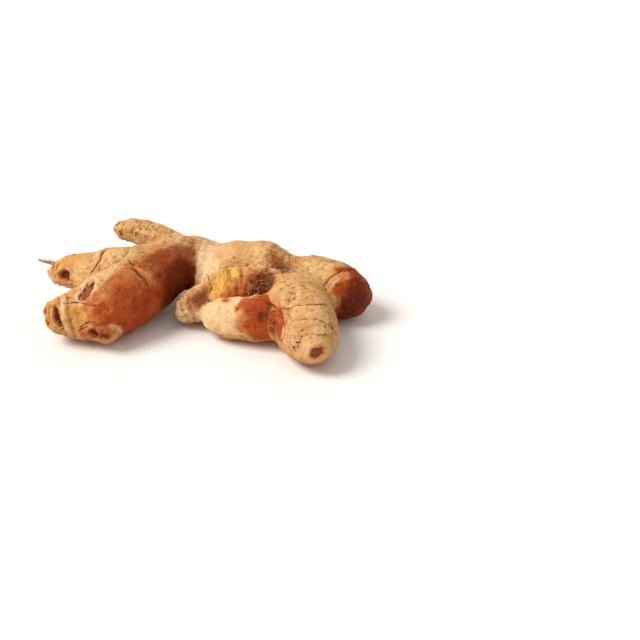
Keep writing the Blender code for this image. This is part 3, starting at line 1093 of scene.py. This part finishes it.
# Its path, from under the skin outwards
BEND = (
    (1.2, 0, -1.4), (-0.6, 0.1, 0.2), (-2.2, 0.2, 0.9),
    (-4.0, 0.1, 1.3), (-6.2, 0.0, 1.8), (-8.6, 0.2, 2.6),
)
rootlet = bmesh.new()
start = Place(horn, 0.88, -18)
path = [start.at + Vector(step) for step in BEND]
strand(rootlet, path, ROOTLET_BASE, ROOTLET_TIP, 8)
finish_piece("dead_rootlet", rootlet, dry_scale, 1)

# %% Torn fibres
# (finger, along, around, spread across in mm, how many, length in mm)
TUFTS = (
    (knob, 0.78, -42, 6.0, 6, 4.0),
    (knob, 0.92, -26, 4.0, 3, 3.2),
    (front, 0.66, 72, 6.0, 4, 3.4),
    (front, 0.76, 78, 4.0, 2, 2.6),
    (thumb, 0.20, -70, 3.0, 2, 3.0),
    (bud, 0.95, 80, 2.5, 3, 1.8),
    (bud, 0.45, 50, 4.0, 4, 2.0),
    (toe, 0.88, -60, 3.0, 2, 1.2),
    (stub, 0.96, 10, 3.0, 2, 1.4),
    (horn, 0.95, -70, 3.0, 2, 1.4),
)
FIBRE_STEPS = 6
FIBRE_TIP = 0.16
DROOP = Vector((0, 0, -0.24))
fibres = bmesh.new()
for finger, along, around, apart, count, length in TUFTS:
    for _ in range(count):
        share = min(along + draw.uniform(-0.5, 0.5) * apart / finger.length, 0.98)
        hit, off = on_surface(finished_surface, finger, share, around)
        beside = finger.direction.cross(off) * draw.uniform(-0.5, 0.5) * apart
        foot, off, _, _ = finished_surface.find_nearest(hit + beside)
        way = (off + Vector(draw.normal(0, 0.6, 3))).normalized()
        path = [foot - off * 0.4, foot + off * 0.1]
        for _ in range(FIBRE_STEPS):
            path.append(path[-1] + way * length / FIBRE_STEPS)
            way = (way + Vector(draw.normal(0, 0.24, 3)) + DROOP).normalized()
        strand(fibres, path, draw.uniform(0.30, 0.46), FIBRE_TIP, 5)
finish_piece("torn_fibres", fibres, dead_fibre)

# %% Papery scales
# (finger, along, around, length, width, curl in mm)
SCALES = (
    (front, 0.73, 66, 12.0, 14, 1.0),
    (palm, 0.765, 31, 4.5, 3.2, 1.2),
    (horn, 0.80, -20, 3.0, 8, 0.6),
    (perch, 0.62, -150, 5.0, 9, 0.6),
    (heel, 0.62, -120, 6.0, 14, 0.9),
    (front, 0.55, -110, 7.0, 12, 0.8),
)
scales = bmesh.new()
for number, scale in enumerate(SCALES):
    papery_scale(scales, *scale, seed=number * 3.7)
finish_piece("papery_scales", scales, dry_scale, 1)

# %% [markdown]
# ## Floor and light
# The table is white lacquer, smooth but not polished, so it shows soft shadows and no reflections.
# The light is broad and comes from above and to the left, as from a large window. A wide sun stands
# in for the window, because it lights the whole table evenly, and a pale room fills the shade.

# %% Stage
TABLE_REACH = 3.0  # in metres, from the root outwards
WINDOW_STRENGTH, WINDOW_WIDTH = 2.9, math.radians(34)
WINDOW_WAY = Vector((0.88, 0.08, -1.0))
ROOM_COLOUR, ROOM_STRENGTH = (1.0, 0.95, 0.89, 1.0), 0.62

floor_shape = bmesh.new()
bmesh.ops.create_grid(floor_shape, x_segments=2, y_segments=2, size=TABLE_REACH)
floor_mesh = bpy.data.meshes.new("white_table")
floor_shape.to_mesh(floor_mesh)
floor_shape.free()
white = bpy.data.materials.new("white_lacquer_table")
white.use_nodes = True
lacquer = white.node_tree.nodes["Principled BSDF"]
lacquer.inputs["Base Color"].default_value = linear("#F2F1EF")
lacquer.inputs["Roughness"].default_value = 0.6
floor_mesh.materials.append(white)
floor = bpy.data.objects.new("white_table", floor_mesh)
bpy.context.scene.collection.objects.link(floor)

window = bpy.data.lights.new("window_light", "SUN")
window.energy, window.angle = WINDOW_STRENGTH, WINDOW_WIDTH
window.color = (1.0, 0.985, 0.96)
window_object = bpy.data.objects.new("window_light", window)
window_object.rotation_euler = WINDOW_WAY.to_track_quat("-Z", "Y").to_euler()
bpy.context.scene.collection.objects.link(window_object)

world = bpy.data.worlds.new("pale_room")
world.use_nodes = True
room = world.node_tree.nodes["Background"]
room.inputs["Color"].default_value = ROOM_COLOUR
room.inputs["Strength"].default_value = ROOM_STRENGTH
bpy.context.scene.world = world
bpy.context.scene.view_settings.view_transform = "Standard"
print("lights:", window_object.name, world.name)
